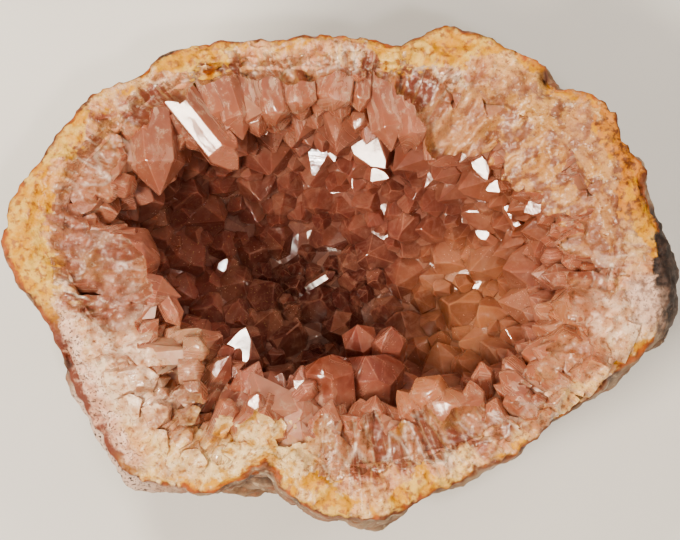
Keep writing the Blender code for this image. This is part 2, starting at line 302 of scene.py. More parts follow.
shellValues = {
    "knobSize": 5.6,  # millimetres across the lumps of the outside
    "knobHeight": 1.0,
    "swellHeight": 0.9,  # of the broader lumps under them
    "pitDepth": 0.9,
    "gritHeight": 0.34,
    "edgeNicks": 0.6,  # how ragged the rim's outer edge is
    "wornAngles": (188, 200, 226, 240),  # directions of the worn rim: begins, whole, still whole, ends
    "wornWidth": 6.0,  # how far in it is worn, and how far down
    "wornDepth": 3.4,
    "tallest": 48.6,  # nothing stands higher over the table
    "bandRelief": 0.8,  # how rough the broken rim is
    "seatOverlap": 0.45,  # how far the wall reaches into the crystals' roots
}
# Small deep holes in the break: x, y, radius, depth.
pits = [
    (-5.4, 32.4, 1.0, 2.6), (-3.9, 29.4, 0.8, 1.8), (34.4, 32.6, 2.4, 3.0), (50.4, 14.2, 1.6, 2.0),
    (-45.6, -14.6, 1.6, 1.6), (-12.8, -33.6, 1.8, 2.4), (-23.4, -16.6, 0.9, 1.6), (24.6, 23.2, 0.9, 1.4),
]
stoneTree = BVHTree.FromObject(frame["nodes"]["shell"], bpy.context.evaluated_depsgraph_get())


def surfaceClasses(piece):
    # says whether each point is on the rim, in the seat under the crystals or outside, by its height and the
    # way it faces, and gives the places along the rim's two edges
    mesh = piece.data
    lowestRim, highestSeat, seatRadius, lowestEdge = 33 * mm, 45.5 * mm, 33 * mm, 30 * mm
    kinds = []
    for vertex in mesh.vertices:
        height, upright = vertex.co.z, vertex.normal.z
        out = Vector((vertex.co.x, vertex.co.y, 0)).normalized()
        inward = vertex.normal.dot(out) < -0.25 and height < highestSeat
        isFloor = upright > 0.3 and height < lowestRim and out.length > 0 and vertex.co.xy.length < seatRadius
        if height > lowestRim and upright > 0.5 and not (inward and upright < 0.62):
            kinds.append("rim")
        elif inward or isFloor:
            kinds.append("seat")
        else:
            kinds.append("outside")
    rindEdge, seatEdge = [], []
    for edge in mesh.edges:
        first, second = edge.vertices
        pair = {kinds[first], kinds[second]}
        middle = (mesh.vertices[first].co + mesh.vertices[second].co) / 2
        if pair == {"rim", "outside"} and middle.z > lowestEdge:
            rindEdge.append(middle)
        if pair == {"rim", "seat"} and middle.z > lowestEdge:
            seatEdge.append(middle)
    return kinds, rindEdge, seatEdge


def nearest(places):
    # gives a function that says how far a point is from the nearest of these places
    tree = KDTree(len(places))
    for index, place in enumerate(places):
        tree.insert(place, index)
    tree.balance()
    return lambda point: tree.find(point)[2]


def storeValues(piece, name, values, domain="POINT"):
    attribute = piece.data.attributes.new(name, "FLOAT", domain)
    attribute.data.foreach_set("value", values)


def stoneRelief(point):
    # how far the weathered outside stands out, in millimetres: rounded lumps with creases, pores and grit
    at = point / mm
    distances, _ = noise.voronoi((at + 1.6 * noise.noise_vector(at / 4.0)) / shellValues["knobSize"])
    knob = shellValues["knobHeight"] * (0.7 - 2.2 * distances[0] ** 2)
    swell = shellValues["swellHeight"] * noise.noise(at / 13 + Vector((2, 8, 4)))
    pit = -shellValues["pitDepth"] * smooth(0.24, 0.56, noise.noise(at / 3.0 + Vector((7, 3, 1))))
    grit = shellValues["gritHeight"] * (noise.noise(at / 1.7) + 0.7 * noise.noise(at / 0.9))
    return knob + swell + pit + grit


def bandRelief(point, inward):
    # the broken rim: low swells, a sugary grain and, from the crystals' edge on, the ends of snapped prisms
    at = Vector((point.x / mm, point.y / mm, 0))
    around = Vector((at.x, at.y, 0)).normalized()
    lane = around * (rimRadius / 3.2) + Vector((0, 0, at.xy.length / 8)) + 0.35 * noise.noise_vector(at / 4)
    distances, places = noise.voronoi(lane)
    snapped = 0.15 + 0.85 * smooth(-3.0, 2.0, inward)
    step = noise.cell(places[0] * 7.3) - 0.5
    tilt = (lane - places[0]).dot(noise.cell_vector(places[0] * 3.1) - Vector((0.5, 0.5, 0.5)))
    crease = smooth(0.14, 0.0, distances[1] - distances[0])
    rib = noise.noise(around * (rimRadius / 1.3) + Vector((0, 0, at.xy.length / 5)))
    swell = 0.9 * noise.noise(at / 6.0) + 0.9 * noise.noise(at / 2.6)
    grain = 0.7 * noise.noise(at / 1.2) + 0.4 * noise.noise(at / 0.6)
    relief = snapped * (1.0 * step + 2.0 * tilt - 0.5 * crease) + 0.5 * rib + swell + grain
    hole = sum(depth * math.exp(-((at.x - x) ** 2 + (at.y - y) ** 2) / radius ** 2)
               for x, y, radius, depth in pits)
    return (shellValues["bandRelief"] * relief - hole) * mm


class RimLine:
    # where the stony band ends and the crystals begin
    def __init__(self, places, shell):
        corners = [vertex.co for vertex in shell.data.vertices]
        self.shell = BVHTree.FromPolygons(corners, [face.vertices for face in shell.data.polygons])
        # sorted by direction; the first and last are repeated a full turn away, to close the line
        ring = sorted((directionOf(place.x, place.y), place.xy.length / mm, place.z / mm) for place in places)
        ring = [(ring[-1][0] - 360,) + ring[-1][1:]] + ring + [(ring[0][0] + 360,) + ring[0][1:]]
        self.angles = [row[0] for row in ring]
        self.radii = [row[1] for row in ring]
        self.heights = [row[2] for row in ring]
        self.distance = nearest(places)

    def value(self, values, angle):
        high = min(max(bisectLeft(self.angles, angle), 1), len(values) - 1)
        low = high - 1
        share = (angle - self.angles[low]) / max(self.angles[high] - self.angles[low], 0.0001)
        return values[low] + (values[high] - values[low]) * share

    def radius(self, angle):
        return self.value(self.radii, angle)

    def height(self, angle):
        return self.value(self.heights, angle)

    def band(self, x, y):
        # height of the stony band under a place
        hit = self.shell.ray_cast(Vector((x, y, 100)) * mm, Vector((0, 0, -1)))[0]
        return hit.z / mm if hit else 0.0

    def inward(self, point):
        # millimetres from the band's inner edge towards the middle, below 0 on the band
        away = self.distance(point) / mm
        return away if point.xy.length / mm < self.radius(directionOf(point.x, point.y)) else -away


def makeShell():
    piece = copyOfNode("shell", "geodeShell")
    widest = math.radians(60)
    bpy.ops.object.mode_set(mode="EDIT")
    bpy.ops.mesh.select_all(action="SELECT")
    bpy.ops.mesh.tris_convert_to_quads(face_threshold=widest, shape_threshold=widest)
    bpy.ops.mesh.subdivide(number_cuts=1, smoothness=0.55)
    bpy.ops.mesh.subdivide(number_cuts=3)
    bpy.ops.object.mode_set(mode="OBJECT")
    print("shell faces", len(piece.data.polygons))

    kinds, rindEdge, seatEdge = surfaceClasses(piece)
    toRind, toSeat = nearest(rindEdge), nearest(seatEdge)
    fromRind, fromSeat, lumps = [], [], []
    for vertex, kind in zip(piece.data.vertices, kinds):
        rind, seat = toRind(vertex.co) / mm, toSeat(vertex.co) / mm
        fromRind.append(-rind if kind == "outside" else rind)
        fromSeat.append(-seat if kind == "seat" else seat)
        lumps.append(stoneRelief(vertex.co))

    normals = [vertex.normal.copy() for vertex in piece.data.vertices]
    starts, whole, fades, ends = shellValues["wornAngles"]
    for index, vertex in enumerate(piece.data.vertices):
        point, normal, rind = vertex.co.copy(), normals[index], fromRind[index]
        if kinds[index] == "seat":
            vertex.co += normal * shellValues["seatOverlap"] * mm * smooth(0, 2.5, -fromSeat[index])
            continue
        rim = smooth(-0.4, 1.6, rind)
        lump = lumps[index] * (0.6 + 0.4 * smooth(0, -7, rind)) * mm
        relief = lump * (1 - rim) + bandRelief(point, -fromSeat[index]) * rim
        keep = smooth(0.2, 3.0, point.z / mm)  # the flat underside stays flat
        vertex.co += normal * relief * keep
        at = point / mm
        angle = directionOf(at.x, at.y)
        worn = smooth(starts, whole, angle) * smooth(ends, fades, angle)
        worn *= smooth(shellValues["wornWidth"], -2.0, rind)
        vertex.co.z -= worn * shellValues["wornDepth"] * smooth(30, 42, at.z) * mm
        nick = math.exp(-(rind / 1.8) ** 2)
        jag = noise.noise(at / 4.2 + Vector((3, 9, 5))) + 0.6 * noise.noise(at / 1.6)
        jag += 0.3 * noise.noise(at / 0.8)
        scallop = 1 + 1.4 * smooth(28, 40, at.x) * smooth(-4, 8, at.y)  # deeper nicks at the far right
        out = Vector((point.x, point.y, 0)).normalized()
        vertex.co += out * (nick * (jag - 0.2) * scallop * shellValues["edgeNicks"] * mm)
    for vertex in piece.data.vertices:
        vertex.co.z = min(max(vertex.co.z, 0), shellValues["tallest"] * mm)
    storeValues(piece, "fromRind", fromRind)
    storeValues(piece, "fromSeat", fromSeat)
    storeValues(piece, "lump", lumps)
    piece.data.shade_smooth()
    piece.data.materials.append(shellFinish())
    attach(piece, "root")
    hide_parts("shell")
    return RimLine(seatEdge, piece)


# Iron stain along the rim's outer edge is widest at these places, each with its radius.
stainPlaces = [
    ((-51.0, 6.0, 45.0), 8.0), ((-51.0, -1.0, 45.0), 5.0), ((21.0, 36.0, 45.0), 4.0),
    ((-24.0, 36.0, 45.0), 5.0), ((13.0, 38.0, 45.0), 7.0), ((49.0, 12.0, 44.0), 7.0),
    ((46.0, 24.0, 44.0), 5.0), ((13.0, -35.0, 44.0), 4.0), ((-3.0, -35.0, 44.0), 4.0),
    ((-45.0, 22.0, 45.0), 5.0),
]


def shellFinish():
    stone = Finish("stonyShell")
    rind, lump = stone.attribute("fromRind"), stone.attribute("lump")
    broad, medium = stone.grain(9, 4), stone.grain(3.2, 4)
    fine, specks = stone.grain(1.1, 4), stone.grain(0.45, 2)
    band, opaque = brokenStone(stone, 0.0 - stone.attribute("fromSeat"))

    wide = 0.0
    for place, radius in stainPlaces:
        wide = wide + stone.spot(place, radius, 3.5)
    stainEdge = rind + (medium - 0.5) * 9.0 + (fine - 0.5) * 4.0 - wide * 6.0
    line = (rind + (fine - 0.5) * 2.4 + (medium - 0.5) * 1.6).step(1.0, 0.1)
    rust = stone.mixed(fine.step(0.46, 0.6), colour(186, 118, 44), colour(112, 62, 30))
    ochre = stone.layered(colour(200, 142, 34), [
        (medium.step(0.44, 0.58), colour(214, 174, 90)),
        (fine.step(0.5, 0.64) * 0.85, colour(150, 88, 34)),
        (stone.spot((45.0, 22.0, 44.0), 15.0, 5.0) * medium.step(0.4, 0.5), rust),
    ])
    brown = stone.mixed(medium.step(0.4, 0.6), colour(156, 80, 34), colour(96, 50, 30))
    speckled = stone.layered(colour(232, 200, 180), [
        (medium.step(0.42, 0.6), colour(206, 160, 136)),
        (fine.step(0.5, 0.62) * 0.7, colour(176, 126, 102)),
        (specks.step(0.56, 0.62) * 0.85, colour(74, 52, 44)),
    ])
    speckled = stone.mixed((rind + (medium - 0.5) * 9.0).step(2.4, 0.8), speckled, colour(118, 62, 46))
    worn = stone.spot((-42.0, -20.0, 42.0), 14.0, 4.0) * (rind + (medium - 0.5) * 5.0).step(5.6, 3.6)
    unsettled = stone.stretched(stone.shaken(stone.place, 1.4, 2.0), (1.0, 1.0, 0.0))
    inPit = 0.0
    for x, y, radius, depth in pits:
        inPit = inPit + stone.away(unsettled, (x, y, 0.0)).step(radius * 1.1, radius * 0.4)
    band = stone.layered(band, [
        (stainEdge.step(1.6, 0.2) * 0.9, ochre),
        (line, brown),
        (worn, speckled),
        (inPit, colour(74, 38, 22)),
    ])

    # the outside: weathered brown lava, rusty and greyish in patches, with a painted highlight on its lumps
    # and painted shade in its creases
    crust = (broad * 0.6 - medium).step(-0.14, -0.06) * fine.step(0.5, 0.62)
    pale = stone.spot((-36.0, -26.0, 34.0), 12.0, 5.0)
    skin = stone.layered(colour(124, 92, 68), [
        (broad.step(0.42, 0.58), colour(150, 126, 104)),
        ((medium + broad * 0.6).step(0.78, 0.9) * 0.7, colour(138, 82, 52)),
        (fine.step(0.5, 0.68) * 0.4, colour(172, 146, 118)),
        # painted highlight: paler on the lumps that stand out
        (lump.step(0.2, 1.1) * 0.45, colour(186, 160, 130)),
        # painted shade: dark in the creases between the lumps
        ((lump + (fine - 0.5) * 1.2).step(-0.1, -0.9) * 0.8, colour(66, 48, 40)),
        (crust * 0.5, colour(198, 178, 152)),
        (pale * 0.8, colour(216, 188, 172)),
        (pale * specks.step(0.56, 0.62), colour(60, 42, 36)),
    ])

    # dark rock on the right end, over the edge and down the outside, with a greyer patch before it
    rock = stone.mixed(fine.step(0.38, 0.66), colour(44, 33, 29), colour(76, 58, 50))
    # painted highlight: the rock paler on its lumps
    rock = stone.mixed(lump.step(0.3, 1.1) * 0.5, rock, colour(116, 92, 80))
    greyRock = stone.mixed(fine.step(0.44, 0.62), colour(204, 170, 150), colour(150, 118, 102))
    greyRock = stone.mixed(specks.step(0.6, 0.66) * 0.7, greyRock, colour(76, 60, 54))
    darkRock = stone.spot((56.0, 0.0, 34.0), 12.0, 9.0) + (medium - 0.5) * 1.6 + (fine - 0.5) * 0.8
    onSkin = (rind + (fine - 0.5) * 3.0).step(1.6, 0.4)
    overEdge = (stone.part(stone.place, "X") + (medium - 0.5) * 7.0 + (fine - 0.5) * 2.0).step(50.4, 51.4)
    atEnd = stone.spot((54.0, 4.0, 42.0), 9.0, 2.0) * overEdge
    whole = stone.layered(skin, [
        (rind.step(-0.6, 0.3), band),
        (stone.spot((50.5, -4.0, 44.0), 4.4, 1.6), greyRock),
        (atEnd + darkRock.step(0.3, 0.8) * onSkin * (1 - atEnd), rock),
    ])

    height = medium * 0.4 + fine * 0.4 + specks * 0.2
    bump = stone.node("ShaderNodeBump", {}, {"Strength": 0.7, "Distance": 0.0009, "Height": height}, "Normal")
    shine = 0.3 + opaque * 0.35 - fine.step(0.55, 0.7) * 0.15
    return stone.done(stone.stoneSurface(whole, shine, bump))


crystalValues = {
    "pointAngle": 38.2,  # between a quartz point's faces and its length
    "bevel": 0.022,  # worn edge, as a share of the width
    "kinds": 7,  # sharp shapes that the crystals are copied from, and blunt ones for the rim
    "bluntKinds": 5,
    "bluntAngle": 56,  # the same angle on the blunt ones, and their wider worn edge
    "rub": 0.1,
    "kindLength": 1.7,  # length of them all in widths, before it is set for each copy
    "bedThickness": 1.8,  # least thickness of the crystals' fused roots
    "rootCover": 2.2,  # millimetres of stone left behind each root
    "hollowPasses": [(420, 7.6, 10.0), (2600, 5.0, 7.2), (7000, 3.2, 4.6)],  # tries, least and greatest width
    "hollowLift": 1.5,  # millimetres that every tip stands over the bed
    "hollowSpacing": 0.56,  # distance between two crystals, as a share of their mean width
    "scatter": 0.2,  # how unevenly they point
    "rimSeed": 3,  # another number lays the crystals of the rim, or of the hollow, another way
    "hollowSeed": 8,
    "breakStep": 0.5,  # mesh size of the surface that breaks them across the rim
}


def isRoot(point):
    # whether a point of an unplaced crystal is one of its root's
    return point.z < 0.05 - crystalValues["kindLength"]


def quartzKind(name, shifts, flat, pointAngle, bevel, isRubbed):
    # a hexagonal prism one unit wide whose tip is at its origin; shifts say how deep each of six cuts goes
    length, wornArea = crystalValues["kindLength"], 0.02
    bpy.ops.object.select_all(action="DESELECT")
    bpy.ops.mesh.primitive_cylinder_add(vertices=6, radius=1 / math.sqrt(3), depth=length, calc_uvs=False,
                                        location=(0, 0, -length / 2))
    kind = bpy.context.object
    kind.name = name
    bpy.ops.object.transform_apply(location=True, rotation=True, scale=True)
    bpy.ops.object.mode_set(mode="EDIT")
    lean = math.radians(pointAngle)
    for side, shift in enumerate(shifts):
        way = facing(60 * side) * math.cos(lean) + Vector((0, 0, math.sin(lean)))
        bpy.ops.mesh.select_all(action="SELECT")
        bpy.ops.mesh.bisect(plane_co=way * shift, plane_no=way, use_fill=True, clear_outer=True)
    bpy.ops.mesh.select_all(action="SELECT")
    bpy.ops.mesh.remove_doubles(threshold=0.002)
    bpy.ops.mesh.select_all(action="SELECT")
    bpy.ops.transform.resize(value=(1, flat, 1), center_override=(0, 0, 0))
    bpy.ops.mesh.normals_make_consistent(inside=False)
    bpy.ops.object.mode_set(mode="OBJECT")
    for edge in kind.data.edges:
        edge.select = not all(isRoot(kind.data.vertices[index].co) for index in edge.vertices)
    bpy.ops.object.mode_set(mode="EDIT")
    bpy.ops.mesh.select_mode(type="EDGE")
    bpy.ops.mesh.bevel(offset=bevel, segments=1, affect="EDGES", clamp_overlap=True)
    bpy.ops.mesh.select_mode(type="VERT")
    bpy.ops.object.mode_set(mode="OBJECT")
    layer = kind.data.uv_layers.new(name="grain")
    for loop in kind.data.loops:
        point = kind.data.vertices[loop.vertex_index].co
        layer.data[loop.index].uv = (math.atan2(point.y, point.x) / math.tau, point.z)
    faces = kind.data.polygons
    storeValues(kind, "tone", [0.0] * len(faces), "FACE")
    storeValues(kind, "facet", [0.0] * len(faces), "FACE")
    storeValues(kind, "worn", [float(face.area < wornArea) for face in faces], "FACE")
    storeValues(kind, "rubbed", [float(isRubbed)] * len(faces), "FACE")
    bpy.context.collection.objects.unlink(kind)
    return kind


def makeKinds():
    # sharp points for the hollow, blunt and well-rubbed ones for the rim
    sharp, blunt = [], []
    dice = random.Random(4)
    for number in range(crystalValues["kinds"]):
        threeFold = number % 2
        shifts = [-dice.uniform(0.0, 0.075) + (0.09 * (side % 2) if threeFold else 0) for side in range(6)]
        flat = dice.uniform(0.8, 1.0)
        sharp.append(quartzKind("sharpPoint%d" % number, shifts, flat, crystalValues["pointAngle"],
                                crystalValues["bevel"], False))
    for number in range(crystalValues["bluntKinds"]):
        shifts = [-dice.uniform(0.0, 0.2) for side in range(6)]
        flat = dice.uniform(0.7, 0.95)
        blunt.append(quartzKind("bluntPoint%d" % number, shifts, flat, crystalValues["bluntAngle"],
                                crystalValues["rub"], True))
    return sharp, blunt


def toneOf(mesh, value):
    # one value for the whole crystal, and another for each of its faces
    count = len(mesh.polygons)
    mesh.attributes["tone"].data.foreach_set("value", [value] * count)
    mesh.attributes["facet"].data.foreach_set("value", [shades.gauss(0, 1) for _ in range(count)])


def roomBehind(point, aim):
    # millimetres from a point back along a crystal to where it would leave the stone
    start, way, gone, last = point * mm, -aim, 0.0, 0.0
    mostWalls, nudge = 6, 0.00002
    for _ in range(mostWalls):
        place, normal, _, distance = stoneTree.ray_cast(start, way)
        if place is None:
            break
        gone += distance
        if normal.dot(way) > 0:
            last = gone
        start, gone = place + way * nudge, gone + nudge
    return last / mm


def placeCrystal(kind, tip, aim, width, length, spin, tone, group):
    # tip, width and length in millimetres; a root never comes out of the stone
    length = min(length, roomBehind(tip - aim * width, aim) + width - crystalValues["rootCover"])
    length = max(length, 1.1 * width)
    turn = Vector((0, 0, 1)).rotation_difference(aim).to_matrix().to_4x4()
    place = Matrix.Translation(tip * mm) @ turn @ Matrix.Rotation(spin, 4, "Z") @ Matrix.Scale(width * mm, 4)
    crystal = bpy.data.objects.new("crystal", kind.data.copy())
    for vertex in crystal.data.vertices:
        if isRoot(vertex.co):
            vertex.co.z = -length / width
    crystal.data.transform(place)
    toneOf(crystal.data, tone)
    group.objects.link(crystal)


# Large crystals: x and y of the tip, how far it is under the rim, where it aims (direction, rise), width,
# length, and whether it is blunt.
largeCrystals = [
    # the left end and the comb of prisms along the top
    (-30.0, 12.6, 3.0, -84, 2, 8.2, 17, 0), (-36.6, 15.6, 1.6, -58, 4, 6.0, 12, 1),
    (-34.0, 20.6, 1.6, -100, 0, 5.6, 9, 1), (-33.0, 24.6, 1.4, -24, 4, 4.4, 7, 1),
    (-39.6, 10.2, 1.6, -50, 6, 5.4, 11, 1), (-21.6, 25.9, 0.9, -78, 0, 2.8, 9, 1),
    (-19.0, 23.9, 1.2, -70, 2, 4.2, 12, 0), (-16.3, 21.9, 2.0, -72, 0, 5.6, 15, 0),
    (-13.4, 22.4, 2.4, -74, 0, 4.6, 14, 0), (-10.8, 23.2, 1.8, -80, -2, 5.6, 15, 1),
    (-6.9, 25.3, 1.9, -84, -2, 6.2, 14, 1), (-2.2, 25.9, 2.2, -100, 0, 6.8, 13, 1),
    (2.7, 26.6, 2.2, -95, 0, 3.8, 10, 0), (8.4, 20.4, 2.8, -80, 2, 5.6, 16, 0),
    (12.8, 20.0, 2.4, -78, 0, 5.6, 16, 1), (18.3, 19.8, 2.6, -68, 2, 5.8, 15, 1),
    (15.4, 24.2, 1.0, -88, 0, 4.0, 9, 1), (22.5, 22.0, 2.4, -76, 2, 4.6, 11, 1),
    # the left block, and the rounded fingers under it
    (-28.2, 1.6, 3.0, -4, 3, 10.4, 19, 1), (-30.8, 5.4, 2.4, 8, 2, 5.0, 12, 1),
    (-25.8, -4.2, 2.4, -14, 2, 6.2, 14, 0), (-26.4, -9.0, 2.0, -62, 4, 3.0, 6, 0),
    (-20.8, -12.6, 0.8, 0, 2, 4.4, 10, 1), (-21.6, -16.0, 0.9, 3, 2, 4.4, 10, 1),
    (-20.8, -19.3, 1.1, 6, 3, 4.2, 10, 1), (-22.0, -22.6, 1.3, 16, 4, 4.2, 9, 1),
    (-23.6, -25.6, 1.6, 30, 6, 3.8, 8, 1), (-17.4, -20.4, 1.2, 64, 20, 3.8, 7, 1),
    (-31.0, -11.6, 2.8, -4, 12, 6.4, 10, 1), (-28.4, -16.4, 2.8, 8, 13, 5.6, 10, 1),
    (-31.4, -20.6, 3.0, 24, 14, 5.2, 8, 1), (-27.0, -21.4, 2.8, 30, 12, 4.8, 9, 1),
    (-27.6, -25.6, 2.8, 48, 14, 4.6, 8, 1), (-23.0, -28.2, 2.2, 66, 12, 4.2, 7, 1),
    # the blocks along the bottom
    (-11.0, -18.8, -1.4, 62, 62, 14.0, 18, 1), (-4.0, -17.8, 1.6, 40, 40, 3.8, 6, 1),
    (-2.6, -12.4, 3.0, 95, 32, 7.8, 16, 1), (5.2, -11.2, 7.2, 86, 46, 10.0, 18, 1),
    (11.4, -17.0, 1.2, 128, 22, 6.6, 13, 1), (16.8, -17.6, 0.8, 104, 22, 6.8, 13, 1),
    (20.6, -17.4, 1.6, 96, 20, 4.6, 11, 0), (22.6, -14.2, 4.0, 100, 40, 3.8, 10, 0),
    (2.4, -7.2, 10.5, 104, 58, 5.6, 17, 0), (8.4, -7.6, 9.5, 78, 56, 5.8, 17, 0),
    # the right
    (35.6, 0.4, 2.6, 150, 8, 6.4, 13, 0), (39.4, 3.0, 1.8, 178, 2, 5.4, 10, 1),
    (41.0, -3.4, 2.2, 176, 12, 5.8, 9, 1), (33.4, -4.2, 2.2, 168, 10, 7.6, 13, 1),
    (38.4, -8.8, 2.0, 162, 12, 7.0, 10, 1), (31.4, -10.2, 2.4, 156, 12, 6.2, 12, 1),
    (36.2, -14.4, 2.2, 150, 12, 6.2, 10, 1), (29.2, -14.8, 2.4, 146, 12, 5.4, 11, 1),
    (32.4, -18.8, 2.4, 138, 13, 5.4, 9, 1), (26.6, -18.4, 2.6, 130, 13, 4.8, 9, 1),
    (28.6, -22.4, 2.6, 128, 13, 4.8, 8, 1), (30.4, 12.6, 6.0, -160, 2, 6.2, 13, 0),
    (34.6, 5.4, 4.6, 176, 4, 5.6, 12, 0),
]
# Crystals with a facet that mirrors a lamp: place as the camera sees it at the rim's height, how far it
# stands out, width, lamp, way it leans, and whether the facet is one of its sides.
mirrorCrystals = [
    (-23.0, 22.6, 6.4, 6.8, "keyLight", -58, 1), (4.4, 19.7, 4.4, 8.2, "keyLight", -60, 0),
    (5.8, 15.7, 3.0, 4.4, "keyLight", -10, 0), (22.6, 17.0, 3.2, 4.6, "keyLight", -70, 0),
    (24.8, 13.8, 2.7, 3.4, "keyLight", 200, 0), (-1.6, 19.0, 2.3, 2.4, "keyLight", -80, 0),
    (-19.4, 0.8, 2.5, 2.8, "sparkLight", 60, 0), (9.9, -16.4, 8.0, 2.4, "sparkLight", 90, 0),
    (-9.8, -25.0, 2.0, 1.8, "sparkLight", 90, 0), (13.8, -27.4, 1.4, 2.6, "sparkLight", 120, 0),
    (-16.8, -12.6, 7.0, 8.0, "topLight", 70, 0), (2.4, 25.2, 2.9, 4.0, "topLight", -100, 0),
    (-3.4, -1.6, 2.3, 2.2, "keyLight", 30, 1), (-14.2, -21.6, 3.4, 3.0, "keyLight", 60, 0),
    (27.2, 9.8, 2.2, 2.0, "topLight", 120, 1), (22.8, 6.0, 2.6, 3.0, "topLight", 150, 0),
    (-15.8, 16.2, 2.4, 2.4, "topLight", 200, 0),
]
# The break across the rim: direction, how far in from the stony band it goes, and how steeply it falls there.
breakReaches = [
    (0, 6.0, 0.05), (15, 9.0, 0.2), (30, 12.5, 0.35), (45, 13.0, 0.38), (58, 9.0, 0.25), (70, 2.0, 0.1),
    (80, 0.3, 0), (140, 0.3, 0), (150, 2.5, 0), (165, 6.0, 0), (174, 10.0, 0.02), (184, 11.0, 0.05),
    (194, 5.0, 0.05), (205, 2.0, 0), (225, 1.5, 0), (240, 3.0, 0), (258, 4.5, 0), (275, 6.5, 0.05),
    (290, 7.0, 0.05), (305, 3.0, 0), (330, 4.0, 0), (345, 5.5, 0), (360, 6.0, 0.05),
]
# How far the crystals of the rim stand in from the stony band: direction and distance.
rimReaches = [
    (0, 10.0), (23, 12.0), (49, 13.0), (74, 7.5), (105, 9.0), (133, 11.0), (156, 12.0), (167, 8.5),
    (178, 12.0), (190, 14.0), (217, 13.0), (260, 10.5), (298, 11.5), (320, 9.0), (344, 11.5), (360, 10.0),
]
# Rows of them, from the highest: how many, share of that distance, depth under the band, rise, widths
rimRows = [
    (150, 0.05, -1.2, 0, (2.4, 3.8)),
    (130, 0.16, -1.0, 0, (2.4, 3.6)),
    (84, 0.25, -0.9, 2, (2.6, 4.6)),
    (66, 0.55, -0.3, 4, (3.0, 5.6)),
    (60, 0.85, 1.0, 6, (3.0, 5.6)),
    (48, 1.05, 3.2, 12, (3.6, 6.6)),
]


def between(rows, place, column=1):
    for low, high in zip(rows, rows[1:]):
        if low[0] <= place <= high[0]:
            return low[column] + (high[column] - low[column]) * (place - low[0]) / (high[0] - low[0])
    return rows[-1][column]


def isClear(point, width, taken, share):
    return all((point - other).length > share * (width + size) / 2 for other, size in taken)


def isClearOver(point, width, taken, share):
    # the same as seen from above
    return all((point - other).xy.length > share * (width + size) / 2 for other, size in taken)


def placeLarge(sharp, blunt, group):
    taken = []
    steep, flat = 30, 15
    for number, (x, y, under, direction, rise, width, length, isBlunt) in enumerate(largeCrystals):
        tip, aim = Vector((x, y, rimTop - under)), aimOf(direction, rise)
        kinds = blunt if isBlunt else sharp
        spin, tone = chance.uniform(0, 1), chance.gauss(0, 0.5)
        placeCrystal(kinds[number % len(kinds)], tip, aim, width, length, spin, tone, group)
        # the room that it keeps free of others, in its widths: how far behind the tip, and how wide
        shares = [(0.35, 0.75), (1.0, 0.9)]
        if rise > steep:
            shares = [(0.1, 1.3), (0.35, 1.1), (0.8, 1.2), (1.3, 1.2)]
        if rise < flat:
            shares += [(share, 0.8) for share in (1.5, 2.0, 2.5) if share * width < length]
        taken += [(tip - aim * width * share, width * size) for share, size in shares]
    return taken


def mirrorAim(place, lamp, way, onSide):
    # the aim and spin with which a crystal's first facet mirrors a lamp to the camera, and where it faces
    toEye = (cameraPlace() / mm - place).normalized()
    toLamp = (Vector(lightValues[lamp]["place"]) / mm - place).normalized()
    mirror = (toEye + toLamp).normalized()
    side = aimOf(way, 10)
    side = (side - mirror * side.dot(mirror)).normalized()
    lean = 0 if onSide else math.radians(crystalValues["pointAngle"])
    aim = mirror * math.sin(lean) + side * math.cos(lean)
    face = (mirror - aim * math.sin(lean)) / math.cos(lean)
    turn = Vector((0, 0, 1)).rotation_difference(aim).to_matrix()
    local = turn.transposed() @ face
    return aim, math.atan2(local.y, local.x), face


def placeMirrors(base, kinds, group, taken):
    tree = BVHTree.FromObject(base, bpy.context.evaluated_depsgraph_get())
    threeFold = [kind for number, kind in enumerate(kinds) if number % 2]
    eye = cameraPlace()
    for number, (x, y, lift, width, lamp, way, onSide) in enumerate(mirrorCrystals):
        line = (Vector((x, y, rimTop)) * mm - eye).normalized()
        place = tree.ray_cast(eye, line)[0] / mm - line * lift
        aim, spin, face = mirrorAim(place, lamp, way, onSide)
        tip = place - face * width / (2 if onSide else 3) + aim * width * (1.25 if onSide else 0.42)
        length = width * (2.8 if onSide else 1.8)
        kind, tone = threeFold[number % len(threeFold)], chance.gauss(0, 0.5)
        placeCrystal(kind, tip, aim, width, length, spin, tone, group)
        taken += [(place, width * 1.1), (tip - aim * width * 0.9, width * 0.9)]
    return taken


def placeRim(lines, kinds, group, taken):
    # rows of prisms that lie in the rim like the teeth of a comb and point into the hollow
    chance.seed(crystalValues["rimSeed"])
    rows = []
    for count, share, under, rise, widths in rimRows:
        row = []
        for number in range(count):
            angle = 360 * (number + chance.uniform(-0.3, 0.3)) / count % 360
            width = chance.uniform(*widths)
            reach = between(rimReaches, angle) * share + chance.uniform(-1.6, 1.6)
            tip = facing(angle) * (lines.radius(angle) - reach)
            fall = between(breakReaches, angle, 2) * reach
            tip.z = lines.height(angle) - under - fall + chance.uniform(-0.7, 0.7)
            tip.z -= 1.6 * fingerShare(angle)
            aim = aimOf(angle + 180 + chance.uniform(-13, 13), rise + chance.uniform(-8, 8))
            kind, spin, tone = chance.choice(kinds), chance.uniform(0, math.tau), chance.gauss(0, 1)
            middle = tip - aim * width * 0.5
            fillsIn = share < 0.2  # the first rows stand between the roots of all the others
            if (fillsIn or isClearOver(middle, width, taken, 0.75)) and isClear(middle, width, rows, 0.6):
                placeCrystal(kind, tip, aim, width, reach + 4.0, spin, tone, group)
                row.append((middle, width))
        rows += row
    return taken + rows


